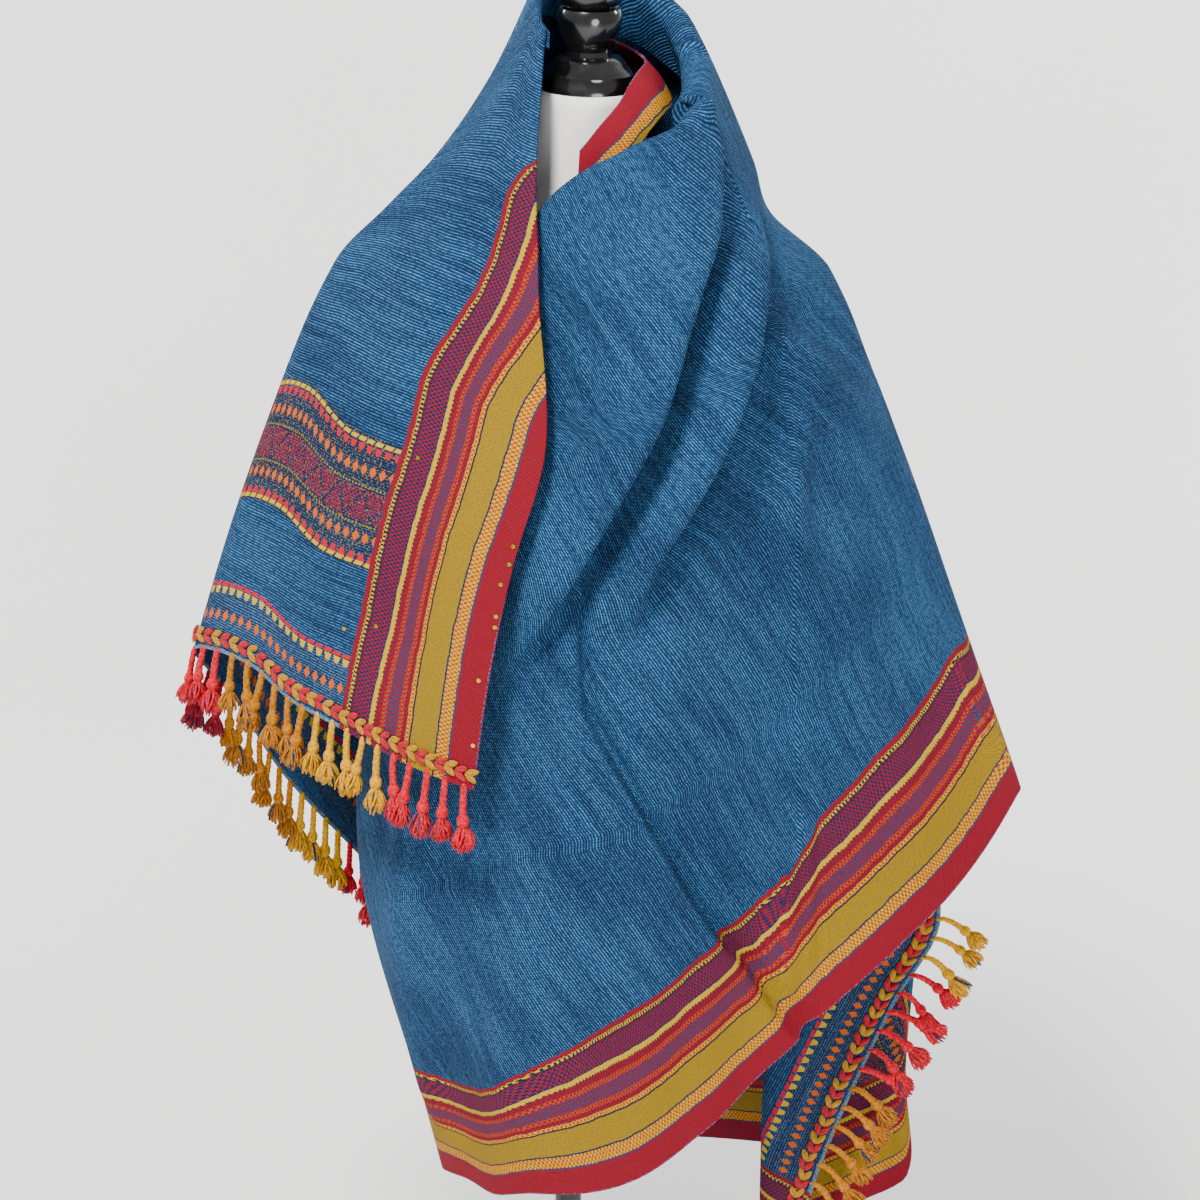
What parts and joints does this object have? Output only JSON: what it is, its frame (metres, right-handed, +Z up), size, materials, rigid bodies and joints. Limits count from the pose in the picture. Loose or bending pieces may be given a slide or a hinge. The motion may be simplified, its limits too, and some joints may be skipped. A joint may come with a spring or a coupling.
{
  "type": "wool shawl on a dress form",
  "caption": "Fringed indigo wool shawl wound twice about a limbless dress form on a pole stand, with a cowl across the chest, side wings and a folded tail.",
  "frame": {"origin": "centre of the base's underside, on the pole's axis", "axes": "+Z up along the pole, the form faces -Y, +X is to the right seen from the front"},
  "size_m": [0.7237, 0.4033, 1.4779],
  "materials": {
    "indigo_wool": "hand-woven wool, indigo with striped borders",
    "crimson_selvedge": "woven wool, crimson",
    "stitched_braid": "wool braid stitch in red and yellow",
    "crimson_tassels": "wrapped wool cord with loose ends",
    "ochre_tassels": "wrapped wool cord with loose ends",
    "white_form": "cotton jersey stretched over the form",
    "black_lacquer": "turned wood, glossy black lacquer",
    "black_metal": "black powder coat"
  },
  "bodies": {
    "root": {"shawl_front_fall": "indigo_wool", "shawl_back_panel": "indigo_wool", "shawl_front_wrap": "indigo_wool", "shawl_under_wrap": "indigo_wool", "shawl_tail": "indigo_wool", "shawl_neck_edge": "crimson_selvedge", "braid_front": "stitched_braid", "braid_rear": "stitched_braid", "braid_tail": "stitched_braid", "fringe_front": "crimson_tassels", "fringe_rear": "ochre_tassels", "fringe_tail": "crimson_tassels", "form_torso": "white_form", "neck_cap": "black_lacquer", "finial_urn": "black_lacquer", "finial_ball": "black_lacquer", "pole_collar": "black_metal", "pole": "black_metal", "base_hub": "black_metal", "base": "black_metal"}
  },
  "joints": []
}
